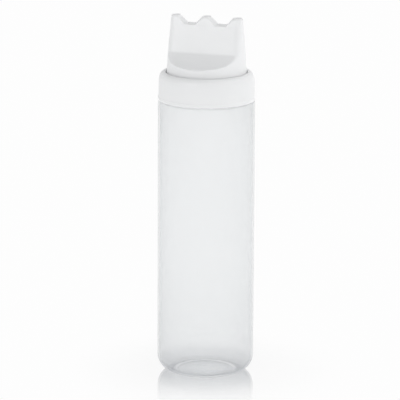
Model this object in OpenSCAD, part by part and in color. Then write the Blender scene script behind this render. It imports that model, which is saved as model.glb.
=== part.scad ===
// Squeeze bottle for sauces: a wide-necked bottle, a screw collar and a flip head with three tips.
// The tips stand in a row along X, the flat thumb face looks towards -Y and the hinge is at +Y.
// Origin: centre of the foot, on the table. Units: millimetres.

/* [Bottle] */
// Outer diameter of the body
body_d = 70; // [66:1:90]
// Wall of the body and its base
body_wall = 1.2; // [0.8:0.1:2]
// Height of the shoulder above the table
shoulder_z = 201.1; // [120:0.1:260]
// Rounding of the shoulder's outer edge
shoulder_round = 2; // [1.5:0.5:3]
// Radius of the heel between wall and foot
heel_r = 12; // [6:1:16]
// Width of the flat ring the bottle stands on
foot_ring_w = 2.5; // [1.5:0.5:4]
// Height of the base's push-up at the centre
push_up = 4; // [2:0.5:8]

/* [Neck] */
// Wall of the neck
neck_wall = 1.4; // [1:0.1:2]
// Height of the lip above the shoulder
neck_h = 14.3; // [12.5:0.1:20]
// Rise of the thread in one turn
thread_pitch = 4; // [3.6:0.1:4.4]
// Turns of each thread
thread_turns = 1.5; // [1:0.25:1.75]
// Height of the bottle's thread above the neck
thread_depth = 1.6; // [1.2:0.1:2]
// Width of a thread at its root
thread_root_w = 1.9; // [1.4:0.1:2]
// Width of a thread at its crest
thread_crest_w = 0.9; // [0.6:0.1:1.2]
// Height of the first thread above the shoulder
thread_start = 4.1; // [3.5:0.1:5]

/* [Screw collar] */
// Wall of the collar at its lower band
collar_wall = 2.6; // [2.2:0.1:3.4]
// Height of the band round the lower edge
band_h = 2.4; // [2:0.2:6]
// Step from the band in to the wall above it
band_step = 0.3; // [0.1:0.1:0.5]
// How far the wall leans in between band and shoulder
collar_draft = 0.3; // [0.1:0.1:1]
// Height of the rounded shoulder
collar_round_h = 6.5; // [5:0.1:9]
// Width of the shoulder between the wall and the head
collar_ledge_w = 5.7; // [5:0.05:7]
// Flat at the top of the shoulder, beside the groove
rim_flat_w = 0.4; // [0.2:0.1:1]
// Thickness of the deck across the neck
deck_t = 2.2; // [1.6:0.1:3]
// Depth of the seat below the top of the collar
seat_depth = 2.5; // [2:0.1:3.5]
// Width of the seat between the head's outside and the mouth
seat_w = 2.85; // [2.4:0.05:4]

/* [Flip head] */
// Height of the head's top above the collar
head_h = 34.3; // [28:0.1:44]
// How far the head's side leans in from the collar to its top
head_draft = 1.85; // [0.5:0.05:3]
// Height of the round base at the front, above the collar
base_h = 6.2; // [4:0.1:8]
// Rise of the sloping ledge behind that
ledge_rise = 8.1; // [4:0.1:9]
// How far the ledge is hollowed below a straight slope
ledge_hollow = 1.7; // [0.5:0.1:2.2]
// Half of the head's thickness at the foot of the flat
flat_low_half = 10.3; // [8:0.1:14]
// Half of the head's thickness at its top
flat_top_half = 5; // [4.5:0.1:7]
// Rounding of the upright corners at the foot of the flat
corner_r = 5; // [3:0.5:7]
// Wall over the channel inside
head_wall = 1.6; // [1.2:0.1:2.2]
// Wall of the plug skirt that fits the mouth
skirt_wall = 1.4; // [1.2:0.1:2]
// Depth of the skirt below the seat
skirt_drop = 3.3; // [3:0.1:4.5]
// Height of the moulding pocket round the skirt, above the seat
pocket_h = 5.5; // [3:0.1:7]

/* [Tips] */
// Distance of the outer tips from the head's side
tip_inset = 3.9; // [3.5:0.1:6]
// Height of a tip above the head
tip_h = 5.8; // [3:0.1:8]
// Diameter at a tip's mouth
tip_d = 6.2; // [5:0.1:7]
// Diameter of a tip where it leaves the head
tip_root_d = 17; // [10:0.5:18]
// Diameter of the hole in a tip
tip_bore_d = 3.2; // [2:0.1:3.6]
// Diameter of the hole where it opens at the tip's mouth
tip_mouth_d = 4.6; // [4:0.1:4.8]
// Depth over which the hole opens
tip_mouth_h = 1.5; // [0.5:0.1:2.5]

/* [Hinge] */
// Diameter of the pin
pin_d = 2; // [1.6:0.1:2.4]
// Diameter of the knuckles
knuckle_d = 4.4; // [4:0.1:5]
// Length of the head's knuckle
head_knuckle_l = 8; // [6:0.5:12]
// Length of each knuckle on the collar
collar_knuckle_l = 5; // [3:0.5:7]
// Height of the pin above the collar's top
hinge_lift = 0; // [-0.5:0.1:1]

/* [Seals] */
// Thickness of the mouth gasket
gasket_t = 1.5; // [1:0.1:2.5]
// Width of the gasket inside the lip
gasket_inside_w = 2; // [1:0.1:2.6]
// Height of the head's seal ring
seal_h = 1.6; // [1.2:0.1:2]
// Depth of the groove that holds the ring
seal_groove = 0.7; // [0.4:0.1:0.9]
// How far the ring stands out of its groove
seal_proud = 0.3; // [0.1:0.1:0.4]

/* [Fits] */
// Gap between the bottle's shoulder and the collar
collar_gap = 0.5; // [0.3:0.1:1]
// Gap between a thread's crest and the wall it faces
crest_gap = 0.5; // [0.4:0.1:0.8]
// Gap above and below the gasket
gasket_gap = 0.1; // [0.05:0.05:0.3]
// Gap round the gasket's outside
gasket_side_gap = 0.4; // [0.3:0.1:0.8]
// Width of the groove between the head and the collar's rim
groove_w = 0.8; // [0.5:0.1:2.6]
// Gap between the head's rim and its seat
seat_gap = 0.3; // [0.2:0.1:0.5]
// Gap between the skirt and the mouth
skirt_gap = 0.7; // [0.6:0.1:1]
// Gap between knuckles side by side
knuckle_gap = 0.3; // [0.2:0.1:0.6]
// Gap between a knuckle and the wall behind it
knuckle_clear = 0.25; // [0.2:0.05:0.5]
// Running clearance round the pin, on the radius
pin_clear = 0.05; // [0.02:0.01:0.1]

/* [Hidden] */
$fn = 96;
arc_step = 10;
rings_per_turn = 32;
thread_bite = 0.3;
run_out = 4;
cut_over = 1;
plan_slab = 0.4;
wedge_step = 0.06;
end_flat = 0.5;
dome_steps = 8;
ledge_steps = 8;
shoulder_power = 0.85;

// Radii of the body and its foot
body_r = body_d / 2;
foot_r = body_r - heel_r;
foot_in_r = foot_r - foot_ring_w;

// The collar's band is flush with the body, and the neck fits inside the collar
band_r = body_r;
collar_in_r = band_r - collar_wall;
crest_r = collar_in_r - crest_gap;
neck_r = crest_r - thread_depth;
neck_in_r = neck_r - neck_wall;

// Radii of the rest of the collar, from the outside in
wall_low_r = band_r - band_step;
wall_top_r = wall_low_r - collar_draft;
head_base_r = wall_top_r - collar_ledge_w;
recess_r = head_base_r + groove_w;
rim_r = recess_r + rim_flat_w;
mouth_r = head_base_r - seat_w;

// Heights, from the table up
lip_z = shoulder_z + neck_h;
collar_low_z = shoulder_z + collar_gap;
gasket_z = lip_z + gasket_gap;
deck_z = gasket_z + gasket_t + gasket_gap;
seat_z = deck_z + deck_t;
collar_top_z = seat_z + seat_depth;
collar_round_z = collar_top_z - collar_round_h;
head_low_z = seat_z + seat_gap;
base_top_z = collar_top_z + base_h;
flat_low_z = base_top_z + ledge_rise;
head_top_z = collar_top_z + head_h;
tip_z = head_top_z + tip_h;

// The head's side is one cone, and each flat is one plane
head_top_r = head_base_r - head_draft;
function side_r(z) = head_base_r - head_draft * (z - collar_top_z) / head_h;
function flat_half(z) = flat_low_half
    + (flat_top_half - flat_low_half) * (z - flat_low_z) / (head_top_z - flat_low_z);
function corner(z) = min(corner_r, flat_half(z) - end_flat);

// The ledge is hollowed to an arc, from the foot of the flat out to the head's side
ledge_from = [flat_low_half, flat_low_z];
ledge_to = [head_base_r, base_top_z];
ledge_chord = norm(ledge_to - ledge_from);
ledge_r = pow(ledge_chord, 2) / (8 * ledge_hollow) + ledge_hollow / 2;
ledge_c = (ledge_from + ledge_to) / 2
    + (ledge_r - ledge_hollow) / ledge_chord * [ledge_rise, head_base_r - flat_low_half];
function ledge_z(y, depth = 0) = ledge_c[1] - sqrt(pow(ledge_r + depth, 2) - pow(y - ledge_c[0], 2));
function ledge_line(from, to, depth = 0) = [for (i = [0:ledge_steps])
    let (y = from + (to - from) * i / ledge_steps) [y, ledge_z(y, depth)]];

// The skirt, its seal and the channel inside
skirt_r = mouth_r - skirt_gap;
channel_r = skirt_r - skirt_wall;
skirt_low_z = seat_z - skirt_drop;
seal_r = skirt_r + seal_proud;
seal_in_r = skirt_r - seal_groove;
seal_z = deck_z + (deck_t - seal_h) / 2;
pocket_r = side_r(collar_top_z) - head_wall;
pocket_top_z = seat_z + pocket_h;

// Places of the tips and of the hinge
tip_xs = [for (side = [-1, 0, 1]) side * (head_top_r - tip_inset)];
knuckle_r = knuckle_d / 2;
pin_r = pin_d / 2;
hinge_y = head_base_r + knuckle_clear + knuckle_r;
hinge_z = collar_top_z + hinge_lift;
collar_knuckle_x = head_knuckle_l / 2 + knuckle_gap;
hinge_half_l = collar_knuckle_x + collar_knuckle_l;

natural = [0.93, 0.94, 0.95, 0.45];
milk_white = [0.93, 0.94, 0.94];
silicone = [0.86, 0.87, 0.88];
steel = [0.72, 0.73, 0.75];

// Points of an arc, from one angle to another
function arc(centre, r, from, to) = let (n = max(1, round(abs(to - from) / arc_step)))
    [for (i = [0:n]) centre + r * [cos(from + (to - from) * i / n), sin(from + (to - from) * i / n)]];

// A shallow dome over the foot ring, from the centre out to the ring's inner edge
function dome(lift) = [for (i = [0:dome_steps]) let (r = foot_in_r * i / dome_steps)
    [r, lift + push_up * (1 - pow(r / foot_in_r, 2))]];
function reversed(points) = [for (i = [len(points) - 1:-1:0]) points[i]];

// A ring of square section
module ring(r_in, r_out, z, h)
    translate([0, 0, z])
        difference() {
            cylinder(r = r_out, h = h);
            translate([0, 0, -cut_over]) cylinder(r = r_in, h = h + 2 * cut_over);
        }

// A trapezoid swept along a right-hand helix, which runs out into the wall at both ends.
// A crest outside the root makes an outer thread, one inside it an inner thread.
module thread(root_r, thread_crest_r, z) {
    n = round(rings_per_turn * thread_turns);
    outer = thread_crest_r > root_r;
    function fade(i) = min(1, (min(i, n - i) + 1) / run_out);
    function section(i) = let (a = 360 * i / rings_per_turn, mid = z + thread_pitch * i / rings_per_turn,
            r = root_r + (thread_crest_r - root_r) * fade(i))
        [for (p = [[root_r, -thread_root_w / 2], [r, -thread_crest_w / 2],
                   [r, thread_crest_w / 2], [root_r, thread_root_w / 2]])
            [p[0] * cos(a), p[0] * sin(a), mid + p[1]]];
    faces = concat(
        [for (i = [0:n - 1]) for (k = [0:3]) let (j = (k + 1) % 4)
            [4 * i + k, 4 * i + j, 4 * i + 4 + j, 4 * i + 4 + k]],
        [[3, 2, 1, 0], [4 * n, 4 * n + 1, 4 * n + 2, 4 * n + 3]]);
    polyhedron([for (i = [0:n]) each section(i)], outer ? faces : [for (f = faces) reversed(f)]);
}

// Blow-moulded bottle: one wall from the push-up base to the lip of the neck
module bottle() {
    heel_c = [foot_r, heel_r];
    shoulder_c = [body_r - shoulder_round, shoulder_z - shoulder_round];
    outside = concat(dome(0), arc(heel_c, heel_r, -90, 0), arc(shoulder_c, shoulder_round, 0, 90),
        [[neck_r, shoulder_z], [neck_r, lip_z]]);
    inside = concat(dome(body_wall), arc(heel_c, heel_r - body_wall, -90, 0),
        arc(shoulder_c, shoulder_round - body_wall, 0, 90),
        [[neck_in_r, shoulder_z - body_wall], [neck_in_r, lip_z]]);
    color(natural) union() {
        rotate_extrude() polygon(concat(outside, reversed(inside)));
        thread(neck_r - thread_bite, crest_r, shoulder_z + thread_start);
    }
}

// Soft flat ring between the bottle's lip and the collar's deck
module mouth_gasket()
    color(silicone) ring(neck_in_r - gasket_inside_w, collar_in_r - gasket_side_gap, gasket_z, gasket_t);

// A bar along X from the axis of the hinge, centred on x
module hinge_bar(r, length, x = 0)
    translate([x - length / 2, hinge_y, hinge_z]) rotate([0, 90, 0]) cylinder(r = r, h = length);

// Screw collar: band, wall, rounded shoulder, and a deck with the mouth in its middle
module screw_collar() {
    round_w = wall_top_r - rim_r;
    section = concat(
        [[collar_in_r, collar_low_z], [band_r, collar_low_z], [band_r, collar_low_z + band_h],
         [wall_low_r, collar_low_z + band_h + band_step]],
        [for (a = [0:arc_step:90])
            [rim_r + round_w * pow(cos(a), shoulder_power),
             collar_round_z + collar_round_h * pow(sin(a), shoulder_power)]],
        [[recess_r, collar_top_z], [recess_r, seat_z], [mouth_r, seat_z], [mouth_r, deck_z],
         [collar_in_r, deck_z]]);
    notch_y = head_base_r - groove_w;
    color(milk_white) difference() {
        union() {
            rotate_extrude() polygon(section);
            thread(collar_in_r + thread_bite, neck_r + crest_gap,
                shoulder_z + thread_start - thread_pitch / 2);
            for (side = [-1, 1])
                hinge_bar(knuckle_r, collar_knuckle_l, side * (collar_knuckle_x + collar_knuckle_l / 2));
        }
        hinge_bar(pin_r, 2 * hinge_half_l + 2 * cut_over);
        hinge_bar(knuckle_r + knuckle_gap, 2 * collar_knuckle_x);
        translate([-collar_knuckle_x, notch_y, seat_z])
            cube([2 * collar_knuckle_x, hinge_y - notch_y, seat_depth + knuckle_d]);
    }
}

// Steel pin, held by the collar's knuckles
module hinge_pin()
    color(steel) hinge_bar(pin_r, 2 * hinge_half_l);

// Outline of the head at one height: a circle with two flats and rounded corners
module plan(z)
    offset(r = corner(z)) offset(delta = -corner(z))
        intersection() {
            circle(r = side_r(z) - wedge_step);
            square([4 * head_base_r, 2 * flat_half(z)], center = true);
        }

// The wedge between the flats, from inside the base up to the height of the tips
module wedge()
    hull()
        for (z = [base_top_z, tip_z - plan_slab])
            translate([0, 0, z]) linear_extrude(plan_slab) plan(z);

// A bar along X whose section is given by points [y, z] of its +Y half
module roof(half)
    rotate([90, 0, 90])
        linear_extrude(4 * head_base_r, center = true)
            polygon(concat(half, [for (p = reversed(half)) [-p[0], p[1]]]));

// The round base under its two hollowed ledges, which run on into the wedge
module base() {
    peak_y = flat_low_half / 2;
    outside_y = head_base_r + cut_over;
    intersection() {
        translate([0, 0, head_low_z])
            cylinder(r1 = side_r(head_low_z), r2 = side_r(ledge_z(peak_y)), h = ledge_z(peak_y) - head_low_z);
        roof(concat([[outside_y, head_low_z - cut_over]], ledge_line(outside_y, peak_y)));
    }
}

// One tip: a blunt cone that starts inside the top of the head
module tip() {
    slope = (tip_root_d - tip_d) / tip_h;
    translate([0, 0, -head_wall])
        cylinder(d1 = tip_root_d + slope * head_wall, d2 = tip_d, h = tip_h + head_wall);
}

// The hole down a tip, opened out at its mouth
module tip_hole() {
    translate([0, 0, -head_wall - cut_over])
        cylinder(d = tip_bore_d, h = head_wall + tip_h + 2 * cut_over);
    translate([0, 0, tip_h - tip_mouth_h])
        cylinder(d1 = tip_bore_d, d2 = tip_mouth_d, h = tip_mouth_h);
    translate([0, 0, tip_h])
        cylinder(d = tip_mouth_d, h = cut_over);
}

// The channel that the sauce takes from the mouth up to the tips
module channel() {
    inner_low = flat_low_half - head_wall;
    outer_low = channel_r + cut_over;
    intersection() {
        translate([0, 0, skirt_low_z - cut_over])
            cylinder(r = channel_r, h = head_top_z - skirt_low_z);
        roof(concat([[outer_low, skirt_low_z - 2 * cut_over]],
            ledge_line(outer_low, inner_low, head_wall),
            [[flat_top_half - head_wall, head_top_z - head_wall]]));
    }
}

// Flip head: base and wedge in one piece, with the plug skirt below and a knuckle behind
module nozzle_head() {
    web_y = pocket_r + (head_base_r - pocket_r) / 2;
    color(milk_white) difference() {
        union() {
            base();
            intersection() {
                wedge();
                union() {
                    translate([0, 0, base_top_z]) cylinder(r = head_base_r, h = head_top_z - base_top_z);
                    for (x = tip_xs)
                        translate([x, 0, head_top_z]) tip();
                }
            }
            translate([0, 0, skirt_low_z]) cylinder(r = skirt_r, h = base_top_z - skirt_low_z);
            hinge_bar(knuckle_r, head_knuckle_l);
            translate([-head_knuckle_l / 2, web_y, hinge_z - knuckle_r / 2])
                cube([head_knuckle_l, hinge_y - web_y, 3 * knuckle_r / 2]);
        }
        channel();
        ring(skirt_r, pocket_r, head_low_z - cut_over, pocket_top_z - head_low_z + cut_over);
        ring(seal_in_r, skirt_r + cut_over, seal_z, seal_h);
        for (x = tip_xs)
            translate([x, 0, head_top_z]) tip_hole();
        hinge_bar(pin_r + pin_clear, head_knuckle_l + 2 * cut_over);
    }
}

// Soft ring in the groove round the skirt
module head_seal()
    color(silicone) ring(seal_in_r, seal_r, seal_z, seal_h);

bottle();
mouth_gasket();
screw_collar();
hinge_pin();
nozzle_head();
head_seal();
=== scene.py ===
import math

import bmesh
import bpy
import numpy as np
from mathutils import Matrix, Vector


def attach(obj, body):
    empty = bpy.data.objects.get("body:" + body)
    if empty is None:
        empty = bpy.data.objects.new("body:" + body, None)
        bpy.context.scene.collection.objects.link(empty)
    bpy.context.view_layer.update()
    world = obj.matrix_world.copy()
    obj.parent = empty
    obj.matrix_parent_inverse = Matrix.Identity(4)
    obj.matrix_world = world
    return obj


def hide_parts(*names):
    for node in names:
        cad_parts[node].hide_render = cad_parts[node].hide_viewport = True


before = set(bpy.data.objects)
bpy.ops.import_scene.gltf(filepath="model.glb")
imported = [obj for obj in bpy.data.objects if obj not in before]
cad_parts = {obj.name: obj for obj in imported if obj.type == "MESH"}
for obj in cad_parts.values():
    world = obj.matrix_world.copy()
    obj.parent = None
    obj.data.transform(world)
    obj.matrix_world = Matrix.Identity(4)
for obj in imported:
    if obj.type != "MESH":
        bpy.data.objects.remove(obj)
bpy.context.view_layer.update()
mm = 0.001

# Distances in mm, an angle in degrees, and how many steps a full turn of each kind of piece has
meshing = {"mergeAt": 0.002, "gridMergeAt": 0.001, "sharpAngle": 32,
           "wallSteps": 192, "ringSteps": 128, "tipSteps": 72, "hingeSteps": 64, "holeSteps": 48}


# Meshes

def makeObject(name, points, edges=(), faces=()):
    mesh = bpy.data.meshes.new(name)
    mesh.from_pydata([tuple(float(c) for c in p) for p in points], list(edges), [list(f) for f in faces])
    mesh.update()
    obj = bpy.data.objects.new(name, mesh)
    bpy.context.scene.collection.objects.link(obj)
    return obj


def tidyMesh(obj):
    # Merge doubles, then turn every face outwards
    work = bmesh.new()
    work.from_mesh(obj.data)
    bmesh.ops.remove_doubles(work, verts=work.verts, dist=meshing["mergeAt"] * mm)
    bmesh.ops.recalc_face_normals(work, faces=work.faces)
    work.to_mesh(obj.data)
    work.free()
    return obj


def bakeModifiers(obj):
    # Turns what the modifiers make into the object's own plain mesh
    bpy.context.view_layer.update()
    graph = bpy.context.evaluated_depsgraph_get()
    plain = bpy.data.meshes.new_from_object(obj.evaluated_get(graph))
    obj.modifiers.clear()
    obj.data = plain
    return obj


def combine(obj, others, how):
    # Union, difference or intersection with other closed meshes, which are used up
    for other in others:
        step = obj.modifiers.new("combine", "BOOLEAN")
        step.operation = how
        step.solver = "EXACT"
        step.object = other
        bakeModifiers(obj)
        bpy.data.objects.remove(other)
    return tidyMesh(obj)


def smoothShade(obj):
    for face in obj.data.polygons:
        face.use_smooth = True
    obj.data.set_sharp_from_angle(angle=math.radians(meshing["sharpAngle"]))


def moved(obj, x, y, z):
    obj.data.transform(Matrix.Translation((x * mm, y * mm, z * mm)))
    return obj


# Outlines, in mm

def arcPoints(centre, radius, start, end, step):
    count = max(2, int(round(abs(end - start) / step)))
    turns = [math.radians(start + (end - start) * i / count) for i in range(count + 1)]
    return [(centre[0] + radius * math.cos(t), centre[1] + radius * math.sin(t)) for t in turns]


def roundCorner(before, corner, after, radius, step=12):
    # Points of the fillet that replaces one corner of an outline
    a, b, c = (Vector(p) for p in (before, corner, after))
    u, v = (a - b).normalized(), (c - b).normalized()
    half = math.acos(max(-1, min(1, u.dot(v)))) / 2
    reach = radius / math.tan(half)
    centre = b + (u + v).normalized() * (radius / math.sin(half))
    first, last = b + u * reach - centre, b + v * reach - centre
    sweep = math.atan2(first.x * last.y - first.y * last.x, first.dot(last))
    count = max(2, int(math.ceil(abs(math.degrees(sweep)) / step)))
    start = math.atan2(first.y, first.x)
    return [(centre.x + radius * math.cos(start + sweep * i / count),
             centre.y + radius * math.sin(start + sweep * i / count)) for i in range(count + 1)]


def fillets(chain, radii):
    # The fillets of the inner corners of an open chain of points
    points = []
    for before, corner, after, radius in zip(chain, chain[1:], chain[2:], radii):
        points += roundCorner(before, corner, after, radius)
    return points


def roundOutline(corners):
    # A closed outline of (x, y, radius); a radius of 0 keeps the corner sharp
    points, count = [], len(corners)
    for i, (x, y, radius) in enumerate(corners):
        if radius <= 0:
            points.append((x, y))
        else:
            points += roundCorner(corners[i - 1][:2], (x, y), corners[(i + 1) % count][:2], radius)
    return points


def ringOutline(inner, outer, low, high, rounds=(0, 0, 0, 0)):
    # A ring's section: corner radii from inner low by outer low and outer high to inner high
    corners = ((inner, low), (outer, low), (outer, high), (inner, high))
    return roundOutline([(x, z, radius) for (x, z), radius in zip(corners, rounds)])


# Geometry Nodes: a profile turned round Z, and a thread that climbs round Z

class Nodes:
    # Adds nodes to a tree: settings first, then the values or links of its sockets
    def __init__(self, tree):
        self.tree = tree

    def add(self, kind, settings=None, **sockets):
        node = self.tree.nodes.new(kind)
        for key, value in (settings or {}).items():
            setattr(node, key, value)
        for key, value in sockets.items():
            index = int(key[1:]) if key[0] == "i" and key[1:].isdigit() else key.replace("_", " ")
            if isinstance(value, bpy.types.NodeSocket):
                self.tree.links.new(value, node.inputs[index])
            else:
                node.inputs[index].default_value = value
        return node

    def math(self, operation, *values):
        inputs = {f"i{i}": value for i, value in enumerate(values)}
        return self.add("ShaderNodeMath", {"operation": operation}, **inputs).outputs[0]

    def unitGrid(self, columns, rows):
        # A grid, and how far along it each vertex is in X and in Y, from 0 to 1
        grid = self.add("GeometryNodeMeshGrid", Size_X=1.0, Size_Y=1.0, Vertices_X=columns, Vertices_Y=rows)
        here = self.add("GeometryNodeInputPosition").outputs[0]
        place = self.add("ShaderNodeSeparateXYZ", i0=here).outputs
        return grid, self.math("ADD", place["X"], 0.5), self.math("ADD", place["Y"], 0.5)

    def profilePoint(self, profile, index):
        here = self.add("GeometryNodeInputPosition").outputs[0]
        vertex = self.add("GeometryNodeSampleIndex", {"data_type": "FLOAT_VECTOR"}, Geometry=profile,
                          Value=here, Index=index)
        return self.add("ShaderNodeSeparateXYZ", i0=vertex.outputs[0]).outputs

    def endTree(self, grid, radius, turn, height, finish):
        # Moves the grid to radius, turn and height, and gives it its material
        spot = self.add("ShaderNodeCombineXYZ", X=self.math("MULTIPLY", radius, self.math("COSINE", turn)),
                        Y=self.math("MULTIPLY", radius, self.math("SINE", turn)), Z=height)
        shaped = self.add("GeometryNodeSetPosition", Geometry=grid.outputs["Mesh"], Position=spot.outputs[0])
        merged = self.add("GeometryNodeMergeByDistance", Geometry=shaped.outputs[0],
                          Distance=meshing["gridMergeAt"] * mm)
        whole = self.add("GeometryNodeRealizeInstances", Geometry=merged.outputs[0])
        dressed = self.add("GeometryNodeSetMaterial", Geometry=whole.outputs[0], Material=finish)
        end = self.tree.nodes.new("NodeGroupOutput")
        self.tree.links.new(dressed.outputs[0], end.inputs[0])
        return self.tree


def startTree(name, inputs):
    # A tree with its inputs, and how many vertices the object's own profile has
    tree = bpy.data.node_groups.new(name, "GeometryNodeTree")
    tree.interface.new_socket("Geometry", in_out="INPUT", socket_type="NodeSocketGeometry")
    for label, kind in inputs.items():
        tree.interface.new_socket(label, in_out="INPUT", socket_type="NodeSocket" + kind)
    tree.interface.new_socket("Geometry", in_out="OUTPUT", socket_type="NodeSocketGeometry")
    n = Nodes(tree)
    given = tree.nodes.new("NodeGroupInput").outputs
    size = n.add("GeometryNodeAttributeDomainSize", {"component": "MESH"}, Geometry=given["Geometry"])
    return n, given, size.outputs["Point Count"]


def revolveTree():
    # The object's own vertices are the profile, x as radius and z as height
    n, given, rows = startTree("turnedProfile", {"Segments": "Int", "Finish": "Material"})
    grid, across, up = n.unitGrid(n.math("ADD", given["Segments"], 1), rows)
    row = n.math("ROUND", n.math("MULTIPLY", up, n.math("SUBTRACT", rows, 1)))
    part = n.profilePoint(given["Geometry"], row)
    return n.endTree(grid, part["X"], n.math("MULTIPLY", across, math.tau), part["Z"], given["Finish"])


def threadTree():
    # The object's own closed outline, x outwards and z up, is carried along a right-hand helix
    inputs = {"Turns": "Float", "Pitch": "Float", "Rings": "Int", "Root": "Float", "RunOut": "Float",
              "Finish": "Material"}
    n, given, columns = startTree("climbingThread", inputs)
    grid, along, around = n.unitGrid(given["Rings"], n.math("ADD", columns, 1))
    column = n.math("ROUND", n.math("MULTIPLY", around, columns))
    part = n.profilePoint(given["Geometry"], n.math("MODULO", column, columns))
    toEnd = n.math("MINIMUM", along, n.math("SUBTRACT", 1.0, along))
    grown = n.math("ADD", threads["endDepth"], n.math("DIVIDE", toEnd, given["RunOut"]))
    fade = n.math("MINIMUM", 1.0, grown)
    depth = n.math("SUBTRACT", part["X"], given["Root"])
    radius = n.math("ADD", given["Root"], n.math("MULTIPLY", fade, depth))
    turns = n.math("MULTIPLY", along, given["Turns"])
    height = n.math("ADD", part["Z"], n.math("MULTIPLY", turns, given["Pitch"]))
    return n.endTree(grid, radius, n.math("MULTIPLY", turns, math.tau), height, given["Finish"])


def runTree(obj, tree, values):
    step = obj.modifiers.new(tree.name, "NODES")
    step.node_group = tree
    sockets = {s.name: s.identifier for s in tree.interface.items_tree if s.in_out == "INPUT"}
    for label, value in values.items():
        step[sockets[label]] = value
    return bakeModifiers(obj)


# Both threads: the bottle's and the collar's
threads = {"pitch": 4.0, "turns": 1.5, "rootWidth": 1.9, "crestWidth": 0.9, "depth": 1.6, "start": 4.1,
           "gap": 0.5, "bite": 0.3, "runOut": 0.08, "endDepth": 0.2, "ringsPerTurn": 72}

turnedProfile = revolveTree()
climbingThread = threadTree()


def turned(name, outline, finish=None, segments=meshing["ringSteps"]):
    # outline: (radius, height) in mm, closed, in order
    points = [(r * mm, 0, z * mm) for r, z in outline + outline[:1]]
    obj = makeObject(name, points, [(i, i + 1) for i in range(len(points) - 1)])
    return tidyMesh(runTree(obj, turnedProfile, {"Segments": segments, "Finish": finish}))


def capEnds(obj):
    # Closes the two open ends of a swept tube
    work = bmesh.new()
    work.from_mesh(obj.data)
    bmesh.ops.holes_fill(work, edges=[e for e in work.edges if e.is_boundary])
    work.to_mesh(obj.data)
    work.free()
    return tidyMesh(obj)


def threadMesh(name, root, crestAt, low, finish):
    s = threads
    rootHalf, crestHalf = s["rootWidth"] / 2, s["crestWidth"] / 2
    outline = [(root, -rootHalf), (crestAt, -crestHalf), (crestAt, crestHalf), (root, rootHalf)]
    points = [(r * mm, 0, (low + z) * mm) for r, z in outline]
    obj = makeObject(name, points, [(0, 1), (1, 2), (2, 3), (3, 0)])
    rings = int(s["turns"] * s["ringsPerTurn"]) + 1
    runTree(obj, climbingThread, {"Turns": s["turns"], "Pitch": s["pitch"] * mm, "Rings": rings,
                                  "Root": root * mm, "RunOut": s["runOut"], "Finish": finish})
    return capEnds(obj)


# Materials

class Maths:
    # A shader socket that takes + - * / on either side and keeps its links
    def __init__(self, tree, socket):
        self.tree, self.socket = tree, socket

    def join(self, operation, *values):
        made = self.tree.nodes.new("ShaderNodeMath")
        made.operation = operation
        for i, value in enumerate(values):
            if isinstance(value, Maths):
                self.tree.links.new(value.socket, made.inputs[i])
            else:
                made.inputs[i].default_value = value
        return Maths(self.tree, made.outputs[0])

    def atLeast(self, least):
        return self.join("MAXIMUM", self, least)

    def exp(self):
        return self.join("EXPONENT", self)

    def __add__(self, other):
        return self.join("ADD", self, other)

    def __radd__(self, other):
        return self.join("ADD", other, self)

    def __sub__(self, other):
        return self.join("SUBTRACT", self, other)

    def __rsub__(self, other):
        return self.join("SUBTRACT", other, self)

    def __mul__(self, other):
        return self.join("MULTIPLY", self, other)

    def __rmul__(self, other):
        return self.join("MULTIPLY", other, self)

    def __truediv__(self, other):
        return self.join("DIVIDE", self, other)

    def __rtruediv__(self, other):
        return self.join("DIVIDE", other, self)


def opaque(colour):
    return (*colour, 1.0)


class Finish:
    # One material: node() adds any node, and surface() ends it
    def __init__(self, name):
        self.material = bpy.data.materials.new(name)
        self.material.use_nodes = True
        self.tree = self.material.node_tree
        self.tree.nodes.clear()

    def node(self, kind, settings=None, sockets=None, out=0):
        made = self.tree.nodes.new(kind)
        for key, value in (settings or {}).items():
            setattr(made, key, value)
        for key, value in (sockets or {}).items():
            if isinstance(value, Maths):
                self.tree.links.new(value.socket, made.inputs[key])
            else:
                made.inputs[key].default_value = value
        return Maths(self.tree, made.outputs[out])

    def place(self):
        return self.node("ShaderNodeTexCoord", out="Object")

    def length(self, vector):
        return self.node("ShaderNodeVectorMath", {"operation": "LENGTH"}, {0: vector}, out="Value")

    def noise(self, scale, detail=2.0, stretch=(1, 1, 1)):
        spot = self.node("ShaderNodeMapping", None, {"Vector": self.place(), "Scale": stretch})
        return self.node("ShaderNodeTexNoise", None, {"Vector": spot, "Scale": scale, "Detail": detail})

    def between(self, value, start, end):
        # Rises smoothly from 0 at start to 1 at end
        return self.node("ShaderNodeMapRange", {"interpolation_type": "SMOOTHSTEP"},
                         {"Value": value, "From Min": start, "From Max": end, "To Min": 0.0, "To Max": 1.0})

    def tint(self, mask, low, high):
        # A colour between two, by a mask from 0 to 1
        return self.node("ShaderNodeMix", {"data_type": "RGBA"}, {0: mask, 6: low, 7: high}, out=2)

    def bump(self, height, strength, depth, under=None):
        # depth is in mm; under is a bump that this one lies on
        sockets = {"Height": height, "Strength": strength, "Distance": depth * mm}
        if under is not None:
            sockets["Normal"] = under
        return self.node("ShaderNodeBump", None, sockets)

    def mix(self, factor, first, second):
        return self.node("ShaderNodeMixShader", None, {0: factor, 1: first, 2: second})

    def glow(self, strength):
        return self.node("ShaderNodeEmission", None, {"Color": (1, 1, 1, 1), "Strength": strength})

    def surface(self, shader):
        end = self.tree.nodes.new("ShaderNodeOutputMaterial")
        self.tree.links.new(shader.socket, end.inputs["Surface"])
        return self.material


milkyFinish = {"light": (0.86, 0.865, 0.87), "dark": (0.80, 0.81, 0.82), "cloudScale": 38.0,
               "cloudDetail": 3.0, "roughScale": 114.0, "roughLow": 0.30, "roughHigh": 0.42,
               "grainScale": 1400.0, "grainStrength": 0.25, "grainDepth": 0.02,
               "scatter": 0.35, "scatterReach": 0.004, "ior": 1.49}


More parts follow.
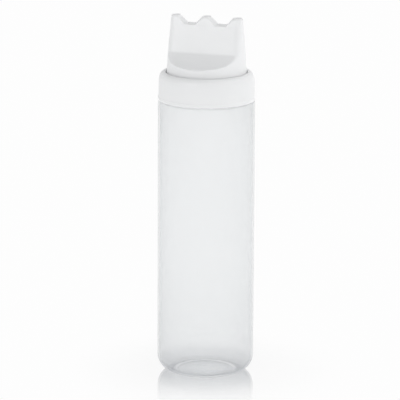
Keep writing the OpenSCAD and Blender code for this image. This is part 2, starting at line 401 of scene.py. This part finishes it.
def milkyPlastic():
    # Satin white plastic that light enters a little way
    f = Finish("milkyPlastic")
    s = milkyFinish
    cloud = f.noise(s["cloudScale"], s["cloudDetail"])
    return f.surface(f.node("ShaderNodeBsdfPrincipled", {"subsurface_method": "RANDOM_WALK"}, {
        "Base Color": f.tint(cloud, opaque(s["dark"]), opaque(s["light"])),
        "Roughness": f.noise(s["roughScale"]) * (s["roughHigh"] - s["roughLow"]) + s["roughLow"],
        "Normal": f.bump(f.noise(s["grainScale"]), s["grainStrength"], s["grainDepth"]),
        "IOR": s["ior"], "Subsurface Weight": s["scatter"], "Subsurface Radius": (1.0, 1.0, 1.0),
        "Subsurface Scale": s["scatterReach"]}))


# Colours (the heel's is a painted shade), then opacity, then where the wall is darker and more opaque low
# down and at the heel and clearer in the base disc (heights and radii in m), then its surface
bottleFinish = {"body": (0.80, 0.81, 0.82), "haze": (0.74, 0.75, 0.76), "low": (0.73, 0.74, 0.75),
                "heel": (0.50, 0.515, 0.54), "clear": (0.985, 0.988, 0.99),
                "opacity": 0.09, "cloudLeast": 0.75, "cloudRange": 0.5, "leastCosine": 0.03,
                "lowFrom": 0.005, "lowTo": 0.09, "lowOpacityGain": 0.25,
                "heelIn": 0.0195, "heelOut": 0.0255, "heelTop": 0.012, "heelLow": 0.004,
                "heelOpacityGain": 0.7, "discOpacityCut": 0.9,
                "cloudScale": 14.0, "cloudDetail": 3.0, "cloudStretch": (1, 1, 0.35),
                "rippleScale": 22.0, "rippleDetail": 1.0, "rippleStretch": (1, 1, 0.25),
                "rippleStrength": 0.3, "rippleDepth": 0.10,
                "grainScale": 900.0, "grainStrength": 0.2, "grainDepth": 0.01,
                "roughScale": 30.0, "roughLow": 0.16, "roughHigh": 0.26, "ior": 1.5}


def naturalPlastic():
    # A wall that scatters a little; seen edge-on, more of it is in the way. Towards the bottom it is darker
    # and more opaque, the heel is more opaque and carries a painted shade, and the base disc is clearer
    f = Finish("naturalPlastic")
    s = bottleFinish
    cloud = f.noise(s["cloudScale"], s["cloudDetail"], s["cloudStretch"])
    ripple = f.noise(s["rippleScale"], s["rippleDetail"], s["rippleStretch"])
    wave = f.bump(ripple, s["rippleStrength"], s["rippleDepth"])
    skin = f.bump(f.noise(s["grainScale"]), s["grainStrength"], s["grainDepth"], wave)
    height = f.node("ShaderNodeSeparateXYZ", None, {0: f.place()}, out="Z")
    level = f.node("ShaderNodeVectorMath", {"operation": "MULTIPLY"}, {0: f.place(), 1: (1, 1, 0)})
    low = f.between(height, s["lowTo"], s["lowFrom"])
    nearFoot = f.between(height, s["heelTop"], s["heelLow"])
    outside = f.between(f.length(level), s["heelIn"], s["heelOut"])
    # The heel's mask carries extra opacity and a painted shade on its colour
    heel = nearFoot * outside
    disc = nearFoot * (1.0 - outside)
    facing = f.node("ShaderNodeLayerWeight", None, {"Blend": 0.5}, out="Facing")
    # Opacity rises towards the bottom and at the heel, and falls in the base disc
    wall = low * s["lowOpacityGain"] + heel * s["heelOpacityGain"] - disc * s["discOpacityCut"] + 1.0
    hazy = cloud * s["cloudRange"] + s["cloudLeast"]
    thick = hazy * wall * s["opacity"] / (1.0 - facing).atLeast(s["leastCosine"])
    opacity = 1.0 - (thick * -1.0).exp()
    colour = f.tint(low, f.tint(cloud, opaque(s["haze"]), opaque(s["body"])), opaque(s["low"]))
    # Painted shade: the heel's colour is darkened all round the foot, where shade falls
    colour = f.tint(heel, colour, opaque(s["heel"]))
    body = f.node("ShaderNodeBsdfPrincipled", None, {
        "Base Color": colour, "Normal": skin, "IOR": s["ior"],
        "Roughness": f.noise(s["roughScale"]) * (s["roughHigh"] - s["roughLow"]) + s["roughLow"]})
    clear = f.node("ShaderNodeBsdfTransparent", None, {"Color": opaque(s["clear"])})
    return f.surface(f.mix(opacity, clear, body))


siliconeFinish = {"light": (0.70, 0.71, 0.72), "dark": (0.62, 0.63, 0.64), "cloudScale": 90.0,
                  "roughLow": 0.42, "roughRange": 0.1, "grainScale": 1800.0, "grainStrength": 0.3,
                  "grainDepth": 0.02, "scatter": 0.2, "scatterReach": 0.002, "ior": 1.41}


def softSilicone():
    f = Finish("softSilicone")
    s = siliconeFinish
    cloud = f.noise(s["cloudScale"])
    return f.surface(f.node("ShaderNodeBsdfPrincipled", None, {
        "Base Color": f.tint(cloud, opaque(s["dark"]), opaque(s["light"])),
        "Roughness": cloud * s["roughRange"] + s["roughLow"],
        "Normal": f.bump(f.noise(s["grainScale"]), s["grainStrength"], s["grainDepth"]),
        "IOR": s["ior"], "Subsurface Weight": s["scatter"], "Subsurface Scale": s["scatterReach"]}))


steelFinish = {"light": (0.66, 0.67, 0.69), "dark": (0.52, 0.53, 0.55), "scratchScale": 400.0,
               "scratchStretch": (0.04, 1, 1), "scratchStrength": 0.2, "scratchDepth": 0.01,
               "roughLow": 0.22, "roughRange": 0.15}


def drawnSteel():
    # Fine scratches run along the pin
    f = Finish("drawnSteel")
    s = steelFinish
    scratch = f.noise(s["scratchScale"], stretch=s["scratchStretch"])
    return f.surface(f.node("ShaderNodeBsdfPrincipled", None, {
        "Base Color": f.tint(scratch, opaque(s["dark"]), opaque(s["light"])),
        "Roughness": scratch * s["roughRange"] + s["roughLow"], "Metallic": 1.0,
        "Normal": f.bump(scratch, s["scratchStrength"], s["scratchDepth"])}))


milky, natural, silicone, steel = milkyPlastic(), naturalPlastic(), softSilicone(), drawnSteel()
print("materials ready")


def settle(obj, node, body, finish):
    # Gives a finished piece its material and body, and hides the plain node that it stands for
    obj.data.materials.clear()
    obj.data.materials.append(finish)
    smoothShade(obj)
    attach(obj, body)
    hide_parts(node)
    print(obj.name, len(obj.data.polygons), "faces")


# Sizes in mm that the pieces share

bottle = {"radius": 35.0, "wall": 1.2, "shoulder": 201.1, "shoulderRound": 2.0, "heel": 12.0,
          "footRing": 2.5, "pushUp": 4.0, "neckWall": 1.4, "neckHeight": 14.3, "lipRound": 0.5,
          "innerRound": 0.8, "domeSteps": 16, "wallLevels": 24, "heelStep": 4, "shoulderStep": 9,
          "innerStep": 18}
collar = {"wall": 2.6, "lowGap": 0.5, "bandHeight": 2.4, "bandStep": 0.3, "draft": 0.3, "roundHeight": 6.5,
          "ledge": 5.7, "rimFlat": 0.4, "deck": 2.2, "seatDepth": 2.5, "seatWidth": 2.85, "groove": 0.8,
          "shoulderPower": 0.85, "shoulderPoints": 18, "shoulderStep": 5, "wallLevels": 5,
          "bandRounds": (0.35, 0.25, 0.25), "innerRounds": (0.2, 0.3, 0.3, 0.3, 0.5), "notchOver": 4,
          "gasketGap": 0.1}
gasket = {"thick": 1.5, "inside": 2.0, "sideGap": 0.4, "round": 0.25}

collarIn = bottle["radius"] - collar["wall"]
crest = collarIn - threads["gap"]
neck = crest - threads["depth"]
neckIn = neck - bottle["neckWall"]
lipZ = bottle["shoulder"] + bottle["neckHeight"]
wallLow = bottle["radius"] - collar["bandStep"]
wallTop = wallLow - collar["draft"]
headBase = wallTop - collar["ledge"]
recess = headBase + collar["groove"]
rim = recess + collar["rimFlat"]
mouth = headBase - collar["seatWidth"]
gasketZ = lipZ + collar["gasketGap"]
deckZ = gasketZ + gasket["thick"] + collar["gasketGap"]
seatZ = deckZ + collar["deck"]
collarTop = seatZ + collar["seatDepth"]


# Bottle

def domeProfile(lift):
    # From the centre out to the inner edge of the foot ring
    ring = bottle["radius"] - bottle["heel"] - bottle["footRing"]
    shares = [i / bottle["domeSteps"] for i in range(bottle["domeSteps"] + 1)]
    return [(ring * t, lift + bottle["pushUp"] * (1 - t * t)) for t in shares]


def makeBottle():
    s = bottle
    heelC = (s["radius"] - s["heel"], s["heel"])
    shoulderC = (s["radius"] - s["shoulderRound"], s["shoulder"] - s["shoulderRound"])
    levels = s["wallLevels"]
    wallZ = [s["heel"] + (shoulderC[1] - s["heel"]) * i / levels for i in range(1, levels)]
    topRounds = (s["innerRound"], s["lipRound"])
    topZ, innerTop = s["shoulder"], s["shoulder"] - s["wall"]
    outerNeck = [(shoulderC[0], topZ), (neck, topZ), (neck, lipZ), (neckIn, lipZ)]
    innerNeck = [(shoulderC[0], innerTop), (neckIn, innerTop), (neckIn, lipZ), (neck, lipZ)]
    outside = (domeProfile(0) + arcPoints(heelC, s["heel"], -90, 0, s["heelStep"])
               + [(s["radius"], z) for z in wallZ]
               + arcPoints(shoulderC, s["shoulderRound"], 0, 90, s["shoulderStep"])
               + fillets(outerNeck, topRounds))
    inside = (domeProfile(s["wall"]) + arcPoints(heelC, s["heel"] - s["wall"], -90, 0, s["heelStep"])
              + [(s["radius"] - s["wall"], z) for z in wallZ]
              + arcPoints(shoulderC, s["shoulderRound"] - s["wall"], 0, 90, s["innerStep"])
              + fillets(innerNeck, topRounds))
    shell = turned("bottle_shell", outside + inside[::-1], natural, meshing["wallSteps"])
    threadLow = s["shoulder"] + threads["start"]
    combine(shell, [threadMesh("bottle_thread", neck - threads["bite"], crest, threadLow, natural)], "UNION")
    settle(shell, "bottle", "bottle", natural)


def makeGasket():
    s = gasket
    outline = ringOutline(neckIn - s["inside"], collarIn - s["sideGap"], gasketZ, gasketZ + s["thick"],
                          [s["round"]] * 4)
    ring = turned("mouth_gasket_ring", outline, silicone)
    settle(ring, "mouth_gasket", "gasket", silicone)


# Hinge at the back

hinge = {"pin": 1.0, "pinShy": 0.005, "knuckle": 2.2, "headLength": 8.0, "collarLength": 5.0, "gap": 0.3,
         "clear": 0.25, "running": 0.05, "round": 0.35, "pinChamfer": 0.2, "webInset": 0.06, "webRound": 0.2,
         "boreOver": 1}
hingeY = headBase + hinge["clear"] + hinge["knuckle"]
hingeZ = collarTop
knuckleStart = hinge["headLength"] / 2 + hinge["gap"]
hingeHalf = knuckleStart + hinge["collarLength"]


def hingeBar(name, radius, start, end, rounding=0.0):
    # A bar on the hinge's axis, from one x to another
    outline = ringOutline(0, radius, start, end, (0, rounding, rounding, 0))
    bar = turned(name, outline, None, meshing["hingeSteps"])
    toAxis = Matrix.Translation((0, hingeY * mm, hingeZ * mm)) @ Matrix.Rotation(math.pi / 2, 4, "Y")
    bar.data.transform(toAxis)
    return tidyMesh(bar)


def block(name, low, high, rounding=0.0):
    # A box between two corners in mm, with its edges rounded
    lows, highs = Vector(low) * mm, Vector(high) * mm
    corners = [(x, y, z) for x in (lows.x, highs.x) for y in (lows.y, highs.y) for z in (lows.z, highs.z)]
    faces = [(0, 1, 3, 2), (4, 6, 7, 5), (0, 4, 5, 1), (2, 3, 7, 6), (0, 2, 6, 4), (1, 5, 7, 3)]
    obj = makeObject(name, corners, (), faces)
    if rounding > 0:
        step = obj.modifiers.new("round", "BEVEL")
        step.width, step.segments, step.limit_method = rounding * mm, 3, "NONE"
        bakeModifiers(obj)
    return tidyMesh(obj)


def makePin():
    radius = hinge["pin"] - hinge["pinShy"]
    pin = hingeBar("hinge_pin_rod", radius, -hingeHalf, hingeHalf, hinge["pinChamfer"])
    settle(pin, "hinge_pin", "collar", steel)


# Screw collar

def collarShoulder(roundZ):
    # From the wall's top in and up to the rim
    s = collar
    turns = [math.radians(s["shoulderStep"] * i) for i in range(s["shoulderPoints"])]
    return [(rim + (wallTop - rim) * math.cos(t) ** s["shoulderPower"],
             roundZ + s["roundHeight"] * math.sin(t) ** s["shoulderPower"]) for t in turns]


def makeCollar():
    s = collar
    bandR, levels = bottle["radius"], s["wallLevels"]
    low = bottle["shoulder"] + s["lowGap"]
    bandTop = low + s["bandHeight"]
    wallZ = bandTop + s["bandStep"]
    roundZ = collarTop - s["roundHeight"]
    shoulder = collarShoulder(roundZ)
    band = [(collarIn, low), (bandR, low), (bandR, bandTop), (wallLow, wallZ), shoulder[0]]
    wallRise = roundZ - bandTop - s["bandStep"]
    wall = [(wallLow + (wallTop - wallLow) * i / levels, wallZ + wallRise * i / levels)
            for i in range(1, levels)]
    outside = band[:1] + fillets(band, s["bandRounds"]) + wall + shoulder
    inside = fillets([(rim, collarTop), (recess, collarTop), (recess, seatZ), (mouth, seatZ), (mouth, deckZ),
                      (collarIn, deckZ), (collarIn, low)], s["innerRounds"])
    shell = turned("screw_collar_shell", outside + inside, milky, meshing["wallSteps"])
    threadLow = bottle["shoulder"] + threads["start"] - threads["pitch"] / 2
    thread = threadMesh("collar_thread", collarIn + threads["bite"], neck + threads["gap"], threadLow, milky)
    knuckles = [hingeBar("knuckle", hinge["knuckle"], start, end, hinge["round"])
                for start, end in ((-hingeHalf, -knuckleStart), (knuckleStart, hingeHalf))]
    combine(shell, [thread] + knuckles, "UNION")
    notchLow = (-knuckleStart, headBase - s["groove"], seatZ)
    notchHigh = (knuckleStart, hingeY, collarTop + s["notchOver"])
    boreHalf = hingeHalf + hinge["boreOver"]
    cuts = [hingeBar("sweep", hinge["knuckle"] + hinge["gap"], -knuckleStart, knuckleStart),
            block("notch", notchLow, notchHigh), hingeBar("bore", hinge["pin"], -boreHalf, boreHalf)]
    combine(shell, cuts, "DIFFERENCE")
    settle(shell, "screw_collar", "collar", milky)


# Flip head

head = {"height": 34.3, "draft": 1.85, "baseHeight": 6.2, "wall": 1.6, "seatGap": 0.3,
        "ledgeRise": 8.1, "ledgeHollow": 1.7, "flatLow": 10.3, "flatTop": 5.0, "leastFlat": 0.5,
        "corner": 5.0, "edge": 2.5, "cornerFrom": 1.5, "cornerOver": 3.5, "topFillet": 0.7, "rimRound": 0.35,
        "footReach": 1.0, "footFillet": 3.4, "footStep": 5, "edgeReach": 2.7, "edgeFillet": 2.9,
        "edgeStep": 8, "skirtWall": 1.4, "skirtGap": 0.7, "skirtDrop": 3.3, "skirtRound": 0.3,
        "pocketHeight": 5.5, "pocketRound": 0.6, "channelRound": 0.8,
        "perQuarter": 64, "arcSteps": 40, "bendSteps": 30}
tips = {"inset": 3.9, "height": 5.8, "width": 6.2, "rootWidth": 17.0, "bore": 3.2, "mouth": 4.6,
        "mouthDepth": 1.5, "lipRound": 0.35, "mouthRounds": (1.0, 0.3), "below": 2, "boreBelow": 4,
        "wedgeBelow": 3, "wedgeShy": 0.01}
seal = {"height": 1.6, "groove": 0.7, "proud": 0.3, "round": 0.4, "innerRound": 0.1,
        "shy": 0.02, "innerShy": 0.01}

headLow = seatZ + head["seatGap"]
baseTop = collarTop + head["baseHeight"]
flatLowZ = baseTop + head["ledgeRise"]
headTop = collarTop + head["height"]
tipTop = headTop + tips["height"]
skirt = mouth - head["skirtGap"]
channel = skirt - head["skirtWall"]
skirtLow = seatZ - head["skirtDrop"]
sealZ = deckZ + (collar["deck"] - seal["height"]) / 2
tipXs = [side * (headBase - head["draft"] - tips["inset"]) for side in (-1, 0, 1)]

# How far past a face a cutting shape reaches, and a half thickness that no flat cuts
over, uncut = 1, 1e3


def sideRadius(z):
    return headBase - head["draft"] * (z - collarTop) / head["height"]


def flatHalf(z):
    return head["flatLow"] + (head["flatTop"] - head["flatLow"]) * (z - flatLowZ) / (headTop - flatLowZ)


ledgeRun = headBase - head["flatLow"]
ledgeChord = math.hypot(ledgeRun, head["ledgeRise"])
ledgeRadius = ledgeChord ** 2 / (8 * head["ledgeHollow"]) + head["ledgeHollow"] / 2
ledgeLift = (ledgeRadius - head["ledgeHollow"]) / ledgeChord
ledgeC = (head["flatLow"] + ledgeRun / 2 + ledgeLift * head["ledgeRise"],
          baseTop + head["ledgeRise"] / 2 + ledgeLift * ledgeRun)


def ledgeZ(y, depth=0.0):
    # The ledge is hollowed to an arc; depth is how far below it
    return ledgeC[1] - math.sqrt((ledgeRadius + depth) ** 2 - (y - ledgeC[0]) ** 2)


def planRing(radius, half, corner, z):
    # A circle cut by two flats with rounded corners, at one height: even steps along each quarter
    half = min(half, radius)
    corner = min(corner, half * 0.8)
    out, up = radius - corner, half - corner
    middle = math.sqrt(max(out * out - up * up, 0))
    bend = math.atan2(up, middle)
    arc, bends = head["arcSteps"], head["bendSteps"]
    path = [(radius * math.cos(bend * i / arc), radius * math.sin(bend * i / arc)) for i in range(arc + 1)]
    path += [(middle + corner * math.cos(t), up + corner * math.sin(t))
             for t in (bend + (math.pi / 2 - bend) * i / bends for i in range(1, bends + 1))]
    path += [(middle * (1 - i / bends), half) for i in range(1, bends + 1)]
    path = np.array(path)
    steps = np.concatenate([[0], np.cumsum(np.linalg.norm(np.diff(path, axis=0), axis=1))])
    even = np.linspace(0, steps[-1], head["perQuarter"] + 1)
    quarter = list(zip(np.interp(even, steps, path[:, 0]), np.interp(even, steps, path[:, 1])))
    ring = quarter[:-1] + [(-a, b) for a, b in quarter[::-1]][:-1]
    ring += [(-a, -b) for a, b in quarter][:-1] + [(a, -b) for a, b in quarter[::-1]][:-1]
    return [(a * mm, b * mm, z * mm) for a, b in ring]


def loftRings(name, rings):
    count, last = len(rings[0]), (len(rings) - 1) * len(rings[0])
    points = [p for ring in rings for p in ring]
    faces = [(low + k, low + (k + 1) % count, low + count + (k + 1) % count, low + count + k)
             for low in range(0, last, count) for k in range(count)]
    faces += [tuple(range(count))[::-1], tuple(range(last, last + count))]
    return tidyMesh(makeObject(name, points, (), faces))


def headOutside():
    # The front profile, half thickness against height, gives the levels; its corners are filleted
    s = head
    edgeY, footY = sideRadius(baseTop), s["flatLow"]
    inner, outer = edgeY - s["edgeReach"], footY + s["footReach"]
    base = roundCorner((sideRadius(headLow), headLow), (edgeY, ledgeZ(edgeY)), (inner, ledgeZ(inner)),
                       s["edgeFillet"], s["edgeStep"])
    concave = roundCorner((outer, ledgeZ(outer)), (footY, flatLowZ), (s["flatTop"], headTop),
                          s["footFillet"], s["footStep"])
    ledge = [(y, ledgeZ(y)) for y in np.linspace(base[-1][0], concave[0][0], 18)[1:-1]]
    flatTopZ = headTop - s["topFillet"]
    flat = [(flatHalf(z), z) for z in np.linspace(concave[-1][1], flatTopZ, 14)[1:]]
    lowRadius = sideRadius(headLow) - s["rimRound"]
    rings = [planRing(lowRadius, uncut, 1, headLow)]
    for x, z in arcPoints((0, headLow + s["rimRound"]), s["rimRound"], -60, 0, 20):
        rings.append(planRing(lowRadius + x, uncut, 1, z))
    for z in np.linspace(headLow + 1, base[0][1], 6)[:-1]:
        rings.append(planRing(sideRadius(z), uncut, 1, z))
    for half, z in base + ledge + concave + flat:
        grown = min(1, max(0, (z - flatLowZ + s["cornerFrom"]) / s["cornerOver"]))
        corner = s["edge"] + (s["corner"] - s["edge"]) * grown * grown * (3 - 2 * grown)
        rings.append(planRing(sideRadius(z), half, min(corner, half - s["leastFlat"]), z))
    for x, z in arcPoints((0, flatTopZ), s["topFillet"], 0, 90, 15)[1:]:
        inset = s["topFillet"] - x
        corner = min(s["corner"], s["flatTop"] - s["leastFlat"]) - inset
        rings.append(planRing(sideRadius(flatTopZ) - inset, flatHalf(flatTopZ) - inset, corner, z))
    return loftRings("nozzle_head_shell", rings)


def tipEnvelope():
    # The wedge carried on up past the tips
    rings = []
    for z in np.linspace(headTop - tips["wedgeBelow"], tipTop + over, 8):
        half = flatHalf(z) - tips["wedgeShy"]
        corner = min(head["corner"], half - head["leastFlat"])
        rings.append(planRing(sideRadius(z) - tips["wedgeShy"], half, corner, z))
    return loftRings("tip_envelope", rings)


def tipSolid(x):
    # A blunt cone that starts a little below the head's top
    s = tips
    low = s["rootWidth"] / 2 + s["below"] * (s["rootWidth"] - s["width"]) / 2 / s["height"]
    outline = roundOutline([(0, -s["below"], 0), (low, -s["below"], 0),
                            (s["width"] / 2, s["height"], s["lipRound"]), (0, s["height"], 0)])
    return moved(turned("tip", outline, None, meshing["tipSteps"]), x, 0, headTop)


def tipHole(x):
    # A bore that widens to the tip's mouth
    s = tips
    bore, wide, low, top = s["bore"] / 2, s["mouth"] / 2, -s["boreBelow"], s["height"]
    side = [(bore, low), (bore, top - s["mouthDepth"]), (wide, top), (wide + over, top)]
    above = [(wide + over, top + over), (0, top + over)]
    outline = [(0, low), (bore, low)] + fillets(side, s["mouthRounds"]) + above
    return moved(turned("tip_hole", outline, None, meshing["holeSteps"]), x, 0, headTop)


def prism(name, outline, halfLength):
    # A closed (y, z) outline in mm, drawn out along X
    count = len(outline)
    points = [(side * halfLength * mm, y * mm, z * mm) for side in (-1, 1) for y, z in outline]
    faces = [(k, (k + 1) % count, count + (k + 1) % count, count + k) for k in range(count)]
    faces += [tuple(range(count))[::-1], tuple(range(count, 2 * count))]
    return tidyMesh(makeObject(name, points, (), faces))


def channelCut():
    # The head's hollow: a round channel under a roof that follows the ledges and the flats
    s = head
    inner, outer = s["flatLow"] - s["wall"], channel + over
    half = [(outer, skirtLow - 2 * over, 0)]
    half += [(y, ledgeZ(y, s["wall"]), 0) for y in np.linspace(outer, inner, 12)]
    half += [(s["flatTop"] - s["wall"], headTop - s["wall"], s["channelRound"])]
    outline = roundOutline(half + [(-y, z, r) for y, z, r in half[::-1]])
    pull = turned("channel", ringOutline(0, channel, skirtLow - over, headTop))
    return combine(pull, [prism("channel_roof", outline, channel + 4 * over)], "INTERSECT")


def headKnuckle():
    # The bore is cut before the knuckle joins the head, so that it stays open at both ends
    halfLength = hinge["headLength"] / 2
    knuckle = hingeBar("knuckle", hinge["knuckle"], -halfLength, halfLength, hinge["round"])
    webHalf = halfLength - hinge["webInset"]
    webLow = (-webHalf, sideRadius(collarTop) - head["wall"] / 2, hingeZ - hinge["knuckle"] / 2)
    webHigh = (webHalf, hingeY, hingeZ + hinge["knuckle"])
    combine(knuckle, [block("web", webLow, webHigh, hinge["webRound"])], "UNION")
    bore = hingeBar("bore", hinge["pin"] + hinge["running"], -hinge["headLength"], hinge["headLength"])
    return combine(knuckle, [bore], "DIFFERENCE")


def makeHead():
    s = head
    shell = headOutside()
    tipSet = tipSolid(tipXs[0])
    combine(tipSet, [tipSolid(x) for x in tipXs[1:]], "UNION")
    combine(tipSet, [tipEnvelope()], "INTERSECT")
    plug = turned("plug", ringOutline(0, skirt, skirtLow, baseTop, (0, s["skirtRound"], 0, 0)))
    combine(shell, [tipSet, plug, headKnuckle()], "UNION")
    pocket = ringOutline(skirt, sideRadius(collarTop) - s["wall"], headLow - over, seatZ + s["pocketHeight"],
                         (0, 0, s["pocketRound"], s["pocketRound"]))
    groove = ringOutline(skirt - seal["groove"], skirt + over, sealZ, sealZ + seal["height"])
    cuts = [channelCut(), turned("pocket", pocket), turned("groove", groove)] + [tipHole(x) for x in tipXs]
    combine(shell, cuts, "DIFFERENCE")
    settle(shell, "nozzle_head", "head", milky)


def makeSeal():
    s = seal
    rounds = (s["innerRound"], s["round"], s["round"], s["innerRound"])
    outline = ringOutline(skirt - s["groove"] + s["innerShy"], skirt + s["proud"],
                          sealZ + s["shy"], sealZ + s["height"] - s["shy"], rounds)
    settle(turned("head_seal_ring", outline, silicone), "head_seal", "head", silicone)


makeBottle()
makeGasket()
makeCollar()
makePin()
makeHead()
makeSeal()
print("pieces ready")


# Floor, light and camera: lengths in m, angles in degrees, the lamp's power in watts

stage = {"half": 3.0, "white": 0.985, "mirror": 0.9, "mirrorRough": 0.05, "fadeStart": 0.03, "fadeEnd": 0.11,
         "matt": 0.13, "mattColour": (0.94, 0.94, 0.94)}
tent = {"level": 1.10, "least": 0.05, "tilt": 0.40, "sides": 0.25, "roof": 0.58, "floor": 0.92,
        "whiteTo": 0.3, "softFrom": 0.6}
softbox = {"left": 40.0, "rise": 22.0, "distance": 2.0, "aimHeight": 0.13, "width": 0.9, "height": 0.6,
           "power": 6.5}
view = {"target": (-0.0044, 0, 0.1267), "distance": 2.45, "tilt": 13.52, "turn": 18.0, "roll": 0.27,
        "focal": 304.5, "sensor": 36.0, "farthest": 50}
viewTurn = math.radians(view["turn"])


def makeFloor():
    # Round the bottle the floor mirrors it and takes its shadow; further out it is plain white
    s = stage
    half = s["half"]
    corners = [(-half, -half, 0), (half, -half, 0), (half, half, 0), (-half, half, 0)]
    floor = makeObject("floor", corners, (), [(0, 1, 2, 3)])
    f = Finish("glossyWhite")
    isCamera = f.node("ShaderNodeLightPath", out="Is Camera Ray")
    near = f.node("ShaderNodeMapRange", {"interpolation_type": "SMOOTHSTEP"},
                  {"Value": f.length(f.place()), "From Min": s["fadeStart"], "From Max": s["fadeEnd"],
                   "To Min": 1.0, "To Max": 0.0})
    mirror = f.node("ShaderNodeBsdfGlossy", None, {"Color": (1, 1, 1, 1), "Roughness": s["mirrorRough"]})
    matt = f.node("ShaderNodeBsdfDiffuse", None, {"Color": opaque(s["mattColour"])})
    seen = f.mix(near * s["mirror"], f.glow(s["white"]), f.mix(s["matt"], mirror, matt))
    floor.data.materials.append(f.surface(f.mix(isCamera, f.glow(tent["floor"]), seen)))


def makeWorld():
    # Camera rays see plain white; the rest is a tent of light, brighter at the right and dimmer overhead,
    # and reflections see it turn white towards the horizon
    world = bpy.data.worlds.new("studio")
    bpy.context.scene.world = world
    world.use_nodes = True
    tree = world.node_tree
    tree.nodes.clear()
    n = Nodes(tree)
    aim = n.add("ShaderNodeSeparateXYZ", i0=n.add("ShaderNodeTexCoord").outputs["Generated"]).outputs
    x, y, z = (Maths(tree, aim[axis]) for axis in "XYZ")
    right = x * math.cos(viewTurn) + y * math.sin(viewTurn)
    front = x * math.sin(viewTurn) - y * math.cos(viewTurn)
    height = z.atLeast(0.0)
    level = right * tent["tilt"] + tent["level"] + (right * right - front * front) * tent["sides"]
    level = (level - height * tent["roof"]).atLeast(tent["least"])
    white = n.add("ShaderNodeBackground", None, Color=(1, 1, 1, 1), Strength=stage["white"])
    soft = n.add("ShaderNodeBackground", None, Color=(1, 1, 1, 1), Strength=level.socket)
    path = n.add("ShaderNodeLightPath").outputs
    low = n.add("ShaderNodeMapRange", {"interpolation_type": "SMOOTHSTEP"}, Value=height.socket,
                From_Min=tent["whiteTo"], From_Max=tent["softFrom"], To_Min=1.0, To_Max=0.0).outputs[0]
    seen = n.math("MAXIMUM", path["Is Camera Ray"], n.math("MULTIPLY", path["Is Glossy Ray"], low))
    both = n.add("ShaderNodeMixShader", None, i0=seen, i1=soft.outputs[0], i2=white.outputs[0])
    end = tree.nodes.new("ShaderNodeOutputWorld")
    tree.links.new(both.outputs[0], end.inputs["Surface"])


def makeSoftbox():
    # A lamp at the left of the camera, aimed at the bottle's middle
    s = softbox
    lamp = bpy.data.lights.new("leftSoftbox", "AREA")
    lamp.shape, lamp.size, lamp.size_y, lamp.energy = "RECTANGLE", s["width"], s["height"], s["power"]
    obj = bpy.data.objects.new("leftSoftbox", lamp)
    around, up = math.radians(view["turn"] - s["left"]), math.radians(s["rise"])
    away = Vector((math.sin(around) * math.cos(up), -math.cos(around) * math.cos(up), math.sin(up)))
    obj.location = Vector((0, 0, s["aimHeight"])) + away * s["distance"]
    obj.rotation_euler = away.to_track_quat("Z", "Y").to_euler()
    bpy.context.scene.collection.objects.link(obj)


def makeCamera():
    s = view
    lens = bpy.data.cameras.new("camera")
    lens.lens, lens.sensor_width, lens.clip_end = s["focal"], s["sensor"], s["farthest"]
    cam = bpy.data.objects.new("camera", lens)
    turn = Matrix.Rotation(viewTurn, 4, "Z")
    tilt = Matrix.Rotation(math.radians(90 - s["tilt"]), 4, "X")
    aim = turn @ tilt @ Matrix.Rotation(math.radians(s["roll"]), 4, "Z")
    cam.location = turn @ Vector(s["target"]) + aim @ Vector((0, 0, s["distance"]))
    cam.rotation_euler = aim.to_euler()
    bpy.context.scene.collection.objects.link(cam)
    bpy.context.scene.camera = cam


makeFloor()
makeWorld()
makeSoftbox()
makeCamera()
bpy.context.scene.view_settings.view_transform = "Standard"
print("stage ready")
